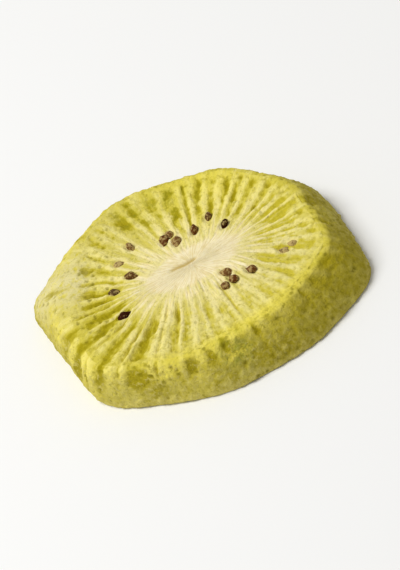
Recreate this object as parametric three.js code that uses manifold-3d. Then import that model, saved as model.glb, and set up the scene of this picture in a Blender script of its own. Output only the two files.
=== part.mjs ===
// A freeze-dried kiwi slice: one solid of flesh and core with its seeds fused into both cut faces.
// It lies flat, with the wider cut face on the plane z = 0 and the narrower one up.
// The origin is the middle of the core on the resting face, and +X runs along the core's long way.
import * as THREE from 'three';
import * as BufferGeometryUtils from 'three/addons/utils/BufferGeometryUtils.js';
import Module from 'manifold-3d';

// Driving dimensions, in millimetres
const THICKNESS = 7.2;
const CORE_HALF_LENGTH = 8.2;
const CORE_HALF_WIDTH = 4.3;
const TOP_SHOULDER = 0.65;
const BEVEL_SHOULDER = 2.4;
const BASE_SHOULDER = 0.6;
const RING_DIP = 0.25;
const FACE_SWELL = 0.2;
const POCKET_DEPTH = { least: 0.35, most: 0.85 };
const RIDGE_INNER = 0.36;
const RIDGE_OUTER = 0.95;
const DIMPLE_DEPTH = 0.3;
const SEED_LENGTH = 2.05;
const SEED_WIDTH = 1.35;
const SEED_HEIGHT = 1.0;
const GROOVE_LENGTH = 4.8;
const GROOVE_WIDTH = 0.6;
const GROOVE_DEPTH = 0.4;
const GROOVE_MIDDLE = [-1.2, 1.0];

// The knife's cuts round the peeled fruit: the bearing that each one faces, in degrees, and its
// distance from the core's middle at the top edge, at half height and at the foot
const PEEL_CUTS = [
  { bearing: 3, edge: 19.4, waist: 21.8, foot: 23.2 },
  { bearing: 38, edge: 19.3, waist: 21.6, foot: 23.0 },
  { bearing: 72, edge: 20.2, waist: 22.3, foot: 23.6 },
  { bearing: 100, edge: 23.4, waist: 24.5, foot: 25.4 },
  { bearing: 128, edge: 22.7, waist: 26.0, foot: 26.8 },
  { bearing: 154, edge: 21.5, waist: 30.3, foot: 30.0 },
  { bearing: 186, edge: 21.6, waist: 23.4, foot: 23.0 },
  { bearing: 226, edge: 22.6, waist: 23.4, foot: 23.6 },
  { bearing: 243, edge: 19.8, waist: 21.2, foot: 21.8 },
  { bearing: 272, edge: 18.2, waist: 20.9, foot: 22.2 },
  { bearing: 300, edge: 19.5, waist: 22.8, foot: 24.4 },
  { bearing: 330, edge: 22.5, waist: 26.0, foot: 27.6 },
];
// How crisply two neighbouring cuts meet: a larger power gives a sharper corner
const CUT_SHARPNESS = 24;
// Where a slanting cut runs over into the top face: its middle bearing and half width in degrees
const BEVEL_ZONE = { bearing: 158, halfWidth: 28 };
// The bearing by which the top face's two gentle swells are turned, in radians
const SWELL_TURN = 1.1;

// Raised rays run out from the core, and a sunken pocket lies between each two of them
const RAY_COUNT = 44;
const RAY_WANDER = 0.5;
const COLUMNS_PER_RAY = 4;
const COLUMN_COUNT = RAY_COUNT * COLUMNS_PER_RAY;
// How many times wider or narrower than the rest a ridge can be
const RIDGE_VARIES = { least: 0.6, most: 1.3 };

// A pocket sinks and closes along its ray: where it starts and ends, and how far it takes to do
// so, as shares of the way from the core to the shoulder
const POCKET_START = { least: 0.03, most: 0.35 };
const POCKET_END = { least: 0.9, most: 1.02 };
const POCKET_SINKS_IN = 0.25;
const POCKET_CLOSES_IN = 0.1;

// Where the pockets are deep: the middle bearing and the half width in degrees, and how deep
const DEEP_ZONES = [
  { bearing: 216, halfWidth: 42, strength: 1.0 },
  { bearing: 62, halfWidth: 34, strength: 0.85 },
  { bearing: 115, halfWidth: 30, strength: 0.6 },
  { bearing: 155, halfWidth: 34, strength: 0.65 },
];
const SHALLOW_DEPTH = 0.4;
// Where the pockets of the top face start late, and by how much
const LATE_ZONE = { bearing: 125, halfWidth: 30, delay: 0.25 };

// Dimples in the wall: how far below the top edge their middles lie and how tall they are, as
// shares of the thickness
const DIMPLE_MIDDLE = { least: 0.09, most: 0.2 };
const DIMPLE_HALF = 0.15;
// A pocket leaves a dimple where its own chance lies above the least; above the most, a full one
const DIMPLE_CHANCE = { least: 0.3, most: 0.8 };
// Where the pockets run over the edge as long furrows of the wall; how many times longer a
// dimple is there, how much likelier, and how much wider the ridges between them grow
const FURROW_ZONE = { bearing: 200, halfWidth: 24 };
const FURROW_LENGTH = 2.5;
const FURROW_CHANCE = 0.5;
const FURROW_RIDGES_WIDER = 0.4;

// Rows of the mesh on a cut face: shares of the way along a ray, from the core to the shoulder
const TOP_SHARES = [0, 0.08, 0.18, 0.3, 0.44, 0.58, 0.72, 0.84, 0.93, 1];
const BASE_SHARES = [1, 0.9, 0.75, 0.56, 0.38, 0.2, 0];
// Rows of the mesh on the wall: share of the thickness, and how far the row is drawn in, as a
// share of the round shoulder next to it
const WALL_ROWS = [
  { height: 0.98, drawnIn: 0.29 },
  { height: 0.93, drawnIn: 0 },
  { height: 0.8, drawnIn: 0 },
  { height: 0.65, drawnIn: 0 },
  { height: 0.42, drawnIn: 0 },
  { height: 0.15, drawnIn: 0 },
  { height: 0.03, drawnIn: 0.22 },
];
const HALF_HEIGHT = 0.5;

// Seeds by their place among the rays, such as 14.5 for midway between rays 14 and 15, their share
// of the way from the core to the shoulder, how far they are sunk, in millimetres, and how far
// they lean with the outer end up, in radians
const TOP_SEEDS = [
  [5.35, 0.16, 0.0, 0.8], [7.7, 0.33, 0.1, 0.8], [9.25, 0.18, 0.0, 0.8], [11.35, 0.13, 0.1, 0.0],
  [11.55, 0.27, 0.1, 0.0], [12.3, 0.22, 0.0, 0.0], [14.5, 0.46, 0.15, 0.6], [16.45, 0.47, 0.4, 0.0],
  [17.65, 0.23, 0.1, 0.0], [19.75, 0.42, 0.15, 0.0], [23.7, 0.38, 0.0, 0.0], [34.95, 0.26, 0.1, 0.0],
  [35.9, 0.1, 0.1, 0.0], [35.85, 0.25, 0.0, 0.0], [37.75, 0.33, 0.0, 0.0], [40.15, 0.53, 0.4, 0.0],
  [40.8, 0.61, 0.4, 0.0],
];
const BASE_SEEDS = [
  [1.5, 0.3, 0.0, 0.0], [3.4, 0.22, 0.1, 0.0], [6.6, 0.35, 0.0, 0.0], [9.5, 0.2, 0.0, 0.0],
  [13.4, 0.28, 0.1, 0.0], [15.6, 0.4, 0.0, 0.0], [18.5, 0.3, 0.0, 0.0], [22.5, 0.36, 0.1, 0.0],
  [25.6, 0.24, 0.0, 0.0], [28.5, 0.2, 0.0, 0.0], [31.4, 0.33, 0.1, 0.0], [32.5, 0.18, 0.0, 0.0],
  [38.5, 0.3, 0.0, 0.0], [41.6, 0.4, 0.1, 0.0],
];
// How much deeper a leaning seed sits, as a share of how far its length rises
const LEAN_SINKS = 0.1;
// How far a seed's middle stands above the pocket that it lies in, and its least height above
// the resting plane
const SEED_RISE = 0.1;
const BASE_SEED_HEIGHT = 0.6;
// How far a seed may be turned away from its ray, in radians
const SEED_TURN = 0.65;
// The bed of a seed in the resting face: its size against the seed's, and its depth
const BED_SPREAD = 1.5;
const BED_DEPTH = 0.55;

// The outline of half a seed that is one unit long and wide: distance from its long axis, and
// place along it
const SEED_PROFILE = [[0, -0.5], [0.3, -0.22], [0.5, 0.12], [0.32, 0.4], [0, 0.5]];
const SEED_SIDES = 5;
// Sides and rings of the balls that the seeds' beds and the groove are cut with
const BALL_SIDES = 8;
const BALL_RINGS = 4;
// Corners nearer to one another than this are one corner
const MERGE_WITHIN = 1e-4;

// Numbers that keep one random trait apart from another
const TRAITS = { wander: 1, ridge: 2, top: 10, base: 20, seed: 30, dimple: 50 };
// The sine that random numbers are read from: its step for each number and for each trait, and
// its height
const RANDOM_WAVE = { step: 12.9898, traitStep: 78.233, height: 43758.5453 };

const degrees = Math.PI / 180;

// A fixed number between 0 and 1 for each whole number, different for each trait: the fraction
// of a very high sine
function scatter(number, trait) {
  const angle = number * RANDOM_WAVE.step + trait * RANDOM_WAVE.traitStep;
  const wave = Math.sin(angle) * RANDOM_WAVE.height;
  return wave - Math.floor(wave);
}

// A fixed number between the least and the most of a range
function scatterIn(range, number, trait) {
  return range.least + (range.most - range.least) * scatter(number, trait);
}

function smoothRise(from, to, value) {
  const share = Math.min(Math.max((value - from) / (to - from), 0), 1);
  return share * share * (3 - 2 * share);
}

// A soft hump round a zone's middle bearing: 1 there, falling off over its half width
function hump(bearing, zone) {
  const turn = bearing / degrees - zone.bearing + 180;
  const away = turn - 360 * Math.floor(turn / 360) - 180;
  return Math.exp(-((away / zone.halfWidth) ** 2));
}

// The outline that the peel cuts leave, as a distance from the core's middle
function outline(bearing, level) {
  let total = 0;
  for (const cut of PEEL_CUTS) {
    const facing = Math.max(Math.cos(bearing - cut.bearing * degrees), 0);
    total += (facing / cut[level]) ** CUT_SHARPNESS;
  }
  return total ** (-1 / CUT_SHARPNESS);
}

// The wall's distance at a share of the thickness: a parabola through the foot, waist and top edge
function wallDistance(bearing, height) {
  const foot = outline(bearing, 'foot') * (1 - height) * (1 - 2 * height);
  const waist = outline(bearing, 'waist') * 4 * height * (1 - height);
  const edge = outline(bearing, 'edge') * height * (2 * height - 1);
  return foot + waist + edge;
}

function rayBearing(ray) {
  return (2 * Math.PI * (ray + RAY_WANDER * (scatter(ray, TRAITS.wander) - 0.5))) / RAY_COUNT;
}

// A bearing that lies a given share of the way from one ray to the next
function bearingInPocket(pocket, across) {
  const first = rayBearing(pocket);
  const turn = pocket === RAY_COUNT - 1 ? 2 * Math.PI : 0;
  const second = rayBearing((pocket + 1) % RAY_COUNT) + turn;
  return first + (second - first) * across;
}

// How far in the top face's round shoulder starts: further where the bevel runs into it
function topShoulder(bearing) {
  return TOP_SHOULDER + (BEVEL_SHOULDER - TOP_SHOULDER) * hump(bearing, BEVEL_ZONE);
}

// A point of a cut face: rays leave the oval core and run straight to the shoulder
function facePoint(bearing, share, faceEdge) {
  const x = (CORE_HALF_LENGTH * (1 - share) + faceEdge * share) * Math.cos(bearing);
  const y = (CORE_HALF_WIDTH * (1 - share) + faceEdge * share) * Math.sin(bearing);
  return new THREE.Vector2(x, y);
}

// From 0 to 1, how deep the pockets are at a bearing: the most of the zones' soft humps
function deepness(bearing) {
  return Math.max(...DEEP_ZONES.map((zone) => zone.strength * hump(bearing, zone)));
}

// 1 on a ray's crest, falling off within the ridge's half width, which grows outwards
function ridgeShare(pocket, across, share, radius) {
  const ray = (across < 0.5 ? pocket : pocket + 1) % RAY_COUNT;
  const step = bearingInPocket(pocket, 1) - bearingInPocket(pocket, 0);
  const away = Math.min(across, 1 - across) * step * radius;
  const wider = 1 + FURROW_RIDGES_WIDER * share * hump(rayBearing(ray), FURROW_ZONE);
  const width = (RIDGE_INNER + (RIDGE_OUTER - RIDGE_INNER) * share) * wider;
  const halfWidth = width * scatterIn(RIDGE_VARIES, ray, TRAITS.ridge);
  return Math.exp(-((away / halfWidth) ** 2));
}

// How deep the pocket between two rays is: it starts to sink near the core and closes just
// before the shoulder, but in the furrow zone of the top face it runs over it
function pocketHollow(pocket, across, share, radius, face) {
  const middle = bearingInPocket(pocket, 0.5);
  const delay = face === 'top' ? LATE_ZONE.delay * hump(middle, LATE_ZONE) : 0;
  const start = scatterIn(POCKET_START, pocket, TRAITS[face]) + delay;
  const end = scatterIn(POCKET_END, pocket, TRAITS[face] + 1);
  const depth = scatterIn(POCKET_DEPTH, pocket, TRAITS[face] + 2);
  const zone = SHALLOW_DEPTH + (1 - SHALLOW_DEPTH) * deepness(middle);
  const sinking = smoothRise(start, start + POCKET_SINKS_IN, share);
  const openEnd = face === 'top' ? hump(middle, FURROW_ZONE) : 0;
  const closing = smoothRise(end - POCKET_CLOSES_IN, end, share) * (1 - openEnd);
  return depth * zone * sinking * (1 - closing) * (1 - ridgeShare(pocket, across, share, radius));
}

// From 0 to 1, the dimple that a pocket may leave in the wall just under its top edge
function wallDimple(pocket, across, height, distance) {
  const zone = hump(bearingInPocket(pocket, 0.5), FURROW_ZONE);
  const chance = scatter(pocket, TRAITS.dimple) + FURROW_CHANCE * zone;
  const strength = smoothRise(DIMPLE_CHANCE.least, DIMPLE_CHANCE.most, chance);
  const middle = scatterIn(DIMPLE_MIDDLE, pocket, TRAITS.dimple + 1) * (1 + zone);
  const half = DIMPLE_HALF * (1 + (FURROW_LENGTH - 1) * zone);
  const upright = Math.exp(-(((1 - height - middle) / half) ** 2));
  return strength * upright * (1 - ridgeShare(pocket, across, 1, distance));
}

function topHeight(pocket, across, share, radius) {
  const bearing = bearingInPocket(pocket, across);
  const swell = FACE_SWELL * share * Math.sin(2 * bearing + SWELL_TURN);
  const dip = RING_DIP * Math.sin(Math.PI * share) ** 2;
  return THICKNESS + swell - dip - pocketHollow(pocket, across, share, radius, 'top');
}

// The flesh: a closed skin of rows, from the middle of the top face over the wall to the base
function fleshGeometry() {
  const corners = [0, 0, THICKNESS];
  const triangles = [];
  const addRow = (pointAt) => {
    for (let column = 0; column < COLUMN_COUNT; column += 1) {
      const pocket = Math.floor(column / COLUMNS_PER_RAY);
      const across = (column % COLUMNS_PER_RAY) / COLUMNS_PER_RAY;
      corners.push(...pointAt(pocket, across));
    }
  };
  for (const share of TOP_SHARES) {
    addRow((pocket, across) => {
      const bearing = bearingInPocket(pocket, across);
      const point = facePoint(bearing, share, wallDistance(bearing, 1) - topShoulder(bearing));
      return [point.x, point.y, topHeight(pocket, across, share, point.length())];
    });
  }
  for (const row of WALL_ROWS) {
    addRow((pocket, across) => {
      const bearing = bearingInPocket(pocket, across);
      const shoulder = row.height > HALF_HEIGHT ? topShoulder(bearing) : BASE_SHOULDER;
      const smooth = wallDistance(bearing, row.height) - row.drawnIn * shoulder;
      const distance = smooth - DIMPLE_DEPTH * wallDimple(pocket, across, row.height, smooth);
      const height = topHeight(pocket, across, 1, distance) * row.height;
      return [distance * Math.cos(bearing), distance * Math.sin(bearing), height];
    });
  }
  for (const share of BASE_SHARES) {
    addRow((pocket, across) => {
      const bearing = bearingInPocket(pocket, across);
      const point = facePoint(bearing, share, wallDistance(bearing, 0) - BASE_SHOULDER);
      return [point.x, point.y, pocketHollow(pocket, across, share, point.length(), 'base')];
    });
  }
  const rowCount = TOP_SHARES.length + WALL_ROWS.length + BASE_SHARES.length;
  const baseMiddle = corners.length / 3;
  corners.push(0, 0, 0);
  const corner = (row, column) => 1 + row * COLUMN_COUNT + (column % COLUMN_COUNT);
  for (let column = 0; column < COLUMN_COUNT; column += 1) {
    triangles.push(0, corner(0, column), corner(0, column + 1));
    for (let row = 0; row < rowCount - 1; row += 1) {
      const inner = corner(row, column);
      const outer = corner(row + 1, column);
      const outerNext = corner(row + 1, column + 1);
      const innerNext = corner(row, column + 1);
      triangles.push(inner, outer, outerNext, inner, outerNext, innerNext);
    }
    triangles.push(corner(rowCount - 1, column), baseMiddle, corner(rowCount - 1, column + 1));
  }
  const geometry = new THREE.BufferGeometry();
  geometry.setAttribute('position', new THREE.Float32BufferAttribute(corners, 3));
  geometry.setIndex(triangles);
  return geometry;
}

// A drop-shaped seed that lies along X with its pointed end towards -X, or leans with its other
// end up and stands on its narrow side, put in its place
function seedGeometry({ x, y, height, turn, lean }) {
  const profile = SEED_PROFILE.map(([aside, along]) => new THREE.Vector2(aside, along));
  const geometry = new THREE.LatheGeometry(profile, SEED_SIDES);
  geometry.rotateZ(-Math.PI / 2);
  geometry.scale(SEED_LENGTH, SEED_WIDTH, SEED_HEIGHT);
  if (lean > 0) {
    geometry.rotateX(Math.PI / 2);
  }
  return geometry.rotateY(-lean).rotateZ(turn).translate(x, y, height);
}

// Where a seed lies: its middle, its turn along the ray and a little to one side, and its lean
function seedSpot([place, share, sunk, lean], number, face) {
  const pocket = Math.floor(place);
  const across = place - pocket;
  const bearing = bearingInPocket(pocket, across);
  const level = face === 'top' ? 1 : 0;
  const shoulder = face === 'top' ? topShoulder(bearing) : BASE_SHOULDER;
  const point = facePoint(bearing, share, wallDistance(bearing, level) - shoulder);
  const turn = bearing + (2 * scatter(number, TRAITS.seed) - 1) * SEED_TURN * (1 - lean);
  const deeper = sunk + LEAN_SINKS * SEED_LENGTH * Math.sin(lean);
  let height = topHeight(pocket, across, share, point.length()) + SEED_RISE - deeper;
  if (face === 'base') {
    const above = pocketHollow(pocket, across, share, point.length(), 'base') + SEED_RISE;
    height = Math.max(above, BASE_SEED_HEIGHT) + sunk;
  }
  return { x: point.x, y: point.y, height, turn, lean };
}

// The hollow that a seed of the resting face lies in, so that it shows and still clears the ground
function bedGeometry() {
  const geometry = new THREE.SphereGeometry(1, BALL_SIDES, BALL_RINGS);
  geometry.rotateX(Math.PI / 2);
  geometry.scale((BED_SPREAD * SEED_LENGTH) / 2, (BED_SPREAD * SEED_WIDTH) / 2, BED_DEPTH);
  return geometry;
}

// The narrow groove in the core: a sliver that is cut out of the top face
function grooveGeometry() {
  const geometry = new THREE.SphereGeometry(1, BALL_SIDES, BALL_RINGS);
  geometry.rotateX(Math.PI / 2);
  geometry.scale(GROOVE_LENGTH / 2, GROOVE_WIDTH / 2, GROOVE_DEPTH);
  geometry.translate(GROOVE_MIDDLE[0], GROOVE_MIDDLE[1], THICKNESS);
  return geometry;
}

const wasm = await Module();
wasm.setup();

function toSolid(source) {
  const bare = source.clone();
  bare.deleteAttribute('normal');
  bare.deleteAttribute('uv');
  const merged = BufferGeometryUtils.mergeVertices(bare, MERGE_WITHIN);
  const triVerts = [];
  const index = merged.index.array;
  for (let i = 0; i < index.length; i += 3) {
    const [a, b, c] = [index[i], index[i + 1], index[i + 2]];
    if (a !== b && b !== c && c !== a) {
      triVerts.push(a, b, c);
    }
  }
  const mesh = new wasm.Mesh({
    numProp: 3,
    vertProperties: new Float32Array(merged.attributes.position.array),
    triVerts: new Uint32Array(triVerts),
  });
  return new wasm.Manifold(mesh);
}

function toGeometry(solid) {
  const mesh = solid.getMesh();
  const geometry = new THREE.BufferGeometry();
  geometry.setAttribute('position', new THREE.Float32BufferAttribute(mesh.vertProperties, 3));
  geometry.setIndex(new THREE.Uint32BufferAttribute(mesh.triVerts, 1));
  geometry.computeVertexNormals();
  return geometry;
}

let slice = toSolid(fleshGeometry()).subtract(toSolid(grooveGeometry()));
for (const [number, seed] of TOP_SEEDS.entries()) {
  slice = slice.add(toSolid(seedGeometry(seedSpot(seed, number, 'top'))));
}
for (const [number, seed] of BASE_SEEDS.entries()) {
  const spot = seedSpot(seed, number, 'base');
  slice = slice.subtract(toSolid(bedGeometry().rotateZ(spot.turn).translate(spot.x, spot.y, 0)));
  slice = slice.add(toSolid(seedGeometry(spot)));
}

const flesh = new THREE.MeshStandardMaterial({ color: 0xd2c35a, roughness: 0.9, metalness: 0 });
const kiwiSlice = new THREE.Mesh(toGeometry(slice), flesh);
kiwiSlice.name = 'kiwi_slice';

const part = new THREE.Group();
part.add(kiwiSlice);
export default part;
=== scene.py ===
"""A freeze-dried kiwi slice, dry and porous, lying on its wider cut face on a pale studio floor.

The flesh is one closed surface on a grid of columns and rows. The columns follow the rays that
run out from the core, and the rows run from the middle of the upper face over the peeled wall to
the middle of the underside. Shapes are worked out in millimetres and written in metres.
"""
import math

import bpy
import numpy as np
from mathutils import Matrix, Vector


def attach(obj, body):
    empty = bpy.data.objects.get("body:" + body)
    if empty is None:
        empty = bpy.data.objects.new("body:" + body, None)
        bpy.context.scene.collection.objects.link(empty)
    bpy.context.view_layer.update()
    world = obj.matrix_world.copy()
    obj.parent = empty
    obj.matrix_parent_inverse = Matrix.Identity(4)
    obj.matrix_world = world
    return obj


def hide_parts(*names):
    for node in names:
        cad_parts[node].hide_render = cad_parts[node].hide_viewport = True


bl_info = {
    "name": "Freeze-dried kiwi slice",
    "version": (1, 0, 0),
    "blender": (4, 5, 0),
    "location": "View3D > Sidebar > Kiwi",
    "description": "Builds a freeze-dried kiwi slice with its seeds and a plain studio",
    "category": "Add Mesh",
}

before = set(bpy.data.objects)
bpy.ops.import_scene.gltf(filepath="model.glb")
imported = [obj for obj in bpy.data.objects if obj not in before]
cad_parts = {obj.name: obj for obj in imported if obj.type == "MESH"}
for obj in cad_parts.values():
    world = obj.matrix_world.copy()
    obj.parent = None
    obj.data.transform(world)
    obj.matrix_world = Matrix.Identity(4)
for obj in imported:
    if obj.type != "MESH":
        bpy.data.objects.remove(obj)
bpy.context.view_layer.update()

MM = 0.001
DEGREES = math.pi / 180

# The slice, as the solid has it, in millimetres
THICKNESS = 7.2
CORE_HALF_LENGTH = 8.2
CORE_HALF_WIDTH = 4.3
TOP_SHOULDER = 0.65
BEVEL_SHOULDER = 2.4
BASE_SHOULDER = 0.6
RING_DIP = 0.25
FACE_SWELL = 0.2
POCKET_DEPTH = (0.35, 0.85)
RIDGE_INNER = 0.36
RIDGE_OUTER = 0.95
DIMPLE_DEPTH = 0.3
SEED_LENGTH = 2.05
SEED_WIDTH = 1.35
SEED_HEIGHT = 1.0
SEED_RISE = 0.1
BASE_SEED_HEIGHT = 0.6
BED_DEPTH = 0.55
GROOVE_LENGTH = 4.8
GROOVE_WIDTH = 0.6
GROOVE_DEPTH = 0.4
GROOVE_MIDDLE = (-1.2, 1.0)
GROOVE_SWAY = 0.12
# The bearing by which the upper face's two gentle swells are turned, how far a seed may be
# turned away from its ray, and the groove's sway in a millimetre, in radians
SWELL_TURN = 1.1
SEED_TURN = 0.65
SWAY_TURN = 1.7
# How many times wider or narrower than the rest a ridge can be, how much wider the ridges
# between furrows grow, and the size of a seed's bed against the seed's
RIDGE_VARIES = (0.6, 1.3)
FURROW_RIDGES_WIDER = 0.4
BED_SPREAD = 1.5

# The knife's cuts: the bearing that each faces, in degrees, and its distance from the core's
# middle at the top edge, at half height and at the foot, in millimetres
PEEL_CUTS = np.array([
    (3, 19.4, 21.8, 23.2),
    (38, 19.3, 21.6, 23.0),
    (72, 20.2, 22.3, 23.6),
    (100, 23.4, 24.5, 25.4),
    (128, 22.7, 26.0, 26.8),
    (154, 21.5, 30.3, 30.0),
    (186, 21.6, 23.4, 23.0),
    (226, 22.6, 23.4, 23.6),
    (243, 19.8, 21.2, 21.8),
    (272, 18.2, 20.9, 22.2),
    (300, 19.5, 22.8, 24.4),
    (330, 22.5, 26.0, 27.6),
])
EDGE, WAIST, FOOT = 1, 2, 3
CUT_SHARPNESS = 24
# Where a slanting cut runs over into the upper face: its middle bearing and half width in degrees
BEVEL_ZONE = (158, 28)

RAY_COUNT = 44
RAY_WANDER = 0.5
COLUMNS_PER_RAY = 13

# Where a pocket starts and ends, and how far it takes to sink and to close, as shares of the way
# from the core to the shoulder
POCKET_START = (0.03, 0.35)
POCKET_END = (0.9, 1.02)
POCKET_SINKS_IN = 0.25
POCKET_CLOSES_IN = 0.1

# A zone is its middle bearing and its half width in degrees, and its strength where that isn't 1.
# Where the pockets are deep and green
DEEP_ZONES = [(216, 42, 1.0), (62, 34, 0.85), (115, 30, 0.6), (155, 34, 0.65)]
SHALLOW_DEPTH = 0.4
# Where the upper face's pockets start late; the strength is the delay
LATE_ZONE = (125, 30, 0.25)

# Dimples in the wall: how far their middles lie below the top edge and their half height, as
# shares of the thickness
DIMPLE_MIDDLE = (0.09, 0.2)
DIMPLE_HALF = 0.15
DIMPLE_CHANCE = (0.3, 0.8)
# Where the pockets run over the edge as long furrows of the wall; how many times longer a dimple
# is there and how much likelier
FURROW_ZONE = (200, 24)
FURROW_LENGTH = 2.5
FURROW_CHANCE = 0.5
# Zones of colour. On the cut faces: green though shallow pockets, paler pockets, a duller far side
# and a more golden one
GREEN_ZONE = (166, 42)
LIGHT_ZONE = (258, 42, 0.42)
DULL_ZONE = (92, 20)
GOLDEN_ZONE = (64, 28, 0.8)
# The dry pale flesh of the bevel, that of the right, the front and the left, and the most pits
PALE_ZONE = (151, 19)
DRY_ZONES = [(318, 34, 0.4), (260, 38, 0.3), (122, 18, 0.3)]
PITTED_ZONE = (160, 40, 0.8)
# A painted highlight on the front rim and on one part of the front wall, the right wall darker and
# greener up to its edge, partly its own colour and partly painted shade, and a mossy spot
PAINTED_LIT_RIM = (285, 55)
PAINTED_LIT_WALL = (248, 14, 0.3)
OLIVE_SHADE_ZONE = (324, 52)
MOSSY_SPOT = (269, 7)

# Fine relief, in millimetres: on the cut faces, fibres, threads, lumps, grains and how deep the
# pits are; in the wall, upright streaks, lumps, grains, how deep the pits are, and the foot's lumps
FACE_FIBRES, FACE_THREADS, FACE_LUMPS, FACE_GRAINS, FACE_PITS = 0.07, 0.07, 0.1, 0.09, 0.25
WALL_STREAKS, WALL_LUMPS, WALL_GRAINS, WALL_PITS, FOOT_LUMPS = 0.1, 0.16, 0.2, 0.2, 0.2
# How wide the lumps, the pits and the pits' patches are, in millimetres, and the grains anywhere
FACE_LUMP, FACE_PIT, FACE_PATCH = 2.2, 1.15, 4.0
WALL_LUMP, WALL_PIT, WALL_PATCH = 2.6, 1.2, 3.0
GRAIN = 0.9

# Seeds by their place among the rays, such as 14.5 for midway between rays 14 and 15, their
# share of the way from the core to the rim, how far they are sunk, in millimetres, and how far
# they lean with the outer end up, in radians
TOP_SEEDS = [
    (5.35, 0.16, 0.0, 0.8), (7.7, 0.33, 0.1, 0.8), (9.25, 0.18, 0.0, 0.8), (11.35, 0.13, 0.1, 0.0),
    (11.55, 0.27, 0.1, 0.0), (12.3, 0.22, 0.0, 0.0), (14.5, 0.46, 0.15, 0.6), (16.45, 0.47, 0.4, 0.0),
    (17.65, 0.23, 0.1, 0.0), (19.75, 0.42, 0.15, 0.0), (23.7, 0.38, 0.0, 0.0), (34.95, 0.26, 0.1, 0.0),
    (35.9, 0.1, 0.1, 0.0), (35.85, 0.25, 0.0, 0.0), (37.75, 0.33, 0.0, 0.0), (40.15, 0.53, 0.4, 0.0),
    (40.8, 0.61, 0.4, 0.0),
]
# How brown each of them is, from 0 for near black to 1, in the same order
TOP_SEED_TINTS = [
    0.1, 0.5, 0.7, 0.9, 0.9, 0.7, 0.8, 0.5, 0.6, 0.1, 0.1, 0.8, 1.0, 0.8, 0.9, 0.3, 0.8,
]
BASE_SEEDS = [
    (1.5, 0.3, 0.0, 0.0), (3.4, 0.22, 0.1, 0.0), (6.6, 0.35, 0.0, 0.0), (9.5, 0.2, 0.0, 0.0),
    (13.4, 0.28, 0.1, 0.0), (15.6, 0.4, 0.0, 0.0), (18.5, 0.3, 0.0, 0.0), (22.5, 0.36, 0.1, 0.0),
    (25.6, 0.24, 0.0, 0.0), (28.5, 0.2, 0.0, 0.0), (31.4, 0.33, 0.1, 0.0), (32.5, 0.18, 0.0, 0.0),
    (38.5, 0.3, 0.0, 0.0), (41.6, 0.4, 0.1, 0.0),
]
DEEPEST_SEED = 0.4
# How much deeper a leaning seed sits, as a share of how far its length rises
LEAN_SINKS = 0.1
# How a seed's size and breadth vary, how far it may tilt, in radians, and how uneven it is
SEED_SIZES = (0.98, 1.16)
SEED_BREADTHS = (0.95, 1.1)
SEED_TILT = 0.4
SEED_UNEVEN = 0.16
# Columns round a seed and rows along it
SEED_COLUMNS, SEED_ROWS = 18, 13
# The flesh round an upper seed, in millimetres: how deep the hollow is and how high its lip
SEED_HOLLOW, SEED_LIP = 0.3, 0.12

# Numbers that keep one random trait apart from another
WANDER_TRAIT, RIDGE_TRAIT, TOP_TRAIT, BASE_TRAIT, SEED_TRAIT, DIMPLE_TRAIT = 1, 2, 10, 20, 30, 50
SIZE_TRAIT, BREADTH_TRAIT, TILT_TRAIT, TINT_TRAIT = 41, 42, 43, 45
# The sine that random numbers are read from: its step for each number and for each trait, and
# its height
NUMBER_STEP, TRAIT_STEP, SINE_HEIGHT = 12.9898, 78.233, 43758.5453
# The flesh's noises by what they mostly shape, the seed of the first one, and that of the seeds'
BENDS, THREADS, FIBRES, LUMPS, GRAINS, PITS, PATCHES, BREAKS, KINKS = range(9)
FLESH_SEED, SEEDS_SEED = 11, 5
# Where noise is read so that no two parts look alike: the height for the upper face and for the
# underside, how far the underside's streaks are moved, and the wall's relief
TOP_LEVEL, BASE_LEVEL, BASE_SHIFT, WALL_SHIFT = 3.0, 40.0, 50.0, 20


def scatter(number, trait):
    """A fixed number between 0 and 1 for each whole number: the fraction of a large sine."""
    wave = np.sin(np.asarray(number) * NUMBER_STEP + trait * TRAIT_STEP) * SINE_HEIGHT
    return wave - np.floor(wave)


def scatter_in(limits, number, trait):
    """A fixed number between two limits for each whole number."""
    least, most = limits
    return least + (most - least) * scatter(number, trait)


def smooth_rise(low, high, value):
    """0 below low and 1 above high, with the curve 3t^2 - 2t^3 between them."""
    share = np.clip((value - low) / (high - low), 0, 1)
    return share * share * (3 - 2 * share)


def hump(bearing, middle, half_width, strength=1.0):
    """A zone's soft hump, e^-(a/h)^2 times its strength, where a is the way from its middle and
    h its half width."""
    away = np.mod(bearing / DEGREES - middle + 180, 360) - 180
    return strength * np.exp(-(away / half_width) ** 2)


def strongest(bearing, zones):
    """The most of several zones' humps at a bearing."""
    return np.max([hump(bearing, *zone) for zone in zones], axis=0)


def outline(bearing, level):
    """The distance of the outline that the peel cuts leave: a soft least of each cut's line."""
    bearing = np.asarray(bearing)[..., None]
    facing = np.clip(np.cos(bearing - PEEL_CUTS[:, 0] * DEGREES), 0, 1)
    return ((facing / PEEL_CUTS[:, level]) ** CUT_SHARPNESS).sum(-1) ** (-1 / CUT_SHARPNESS)


def wall_distance(bearing, height):
    """The wall's distance at a share of the thickness: a parabola through foot, waist and edge."""
    foot = outline(bearing, FOOT) * (1 - height) * (1 - 2 * height)
    waist = outline(bearing, WAIST) * 4 * height * (1 - height)
    edge = outline(bearing, EDGE) * height * (2 * height - 1)
    return foot + waist + edge


def ray_bearing(ray):
    """The bearing of a ray, with whole turns kept: even steps, each moved a little."""
    turns = np.floor_divide(ray, RAY_COUNT)
    number = np.mod(ray, RAY_COUNT)
    wander = RAY_WANDER * (scatter(number, WANDER_TRAIT) - 0.5)
    return 2 * np.pi * (turns + (number + wander) / RAY_COUNT)


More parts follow.
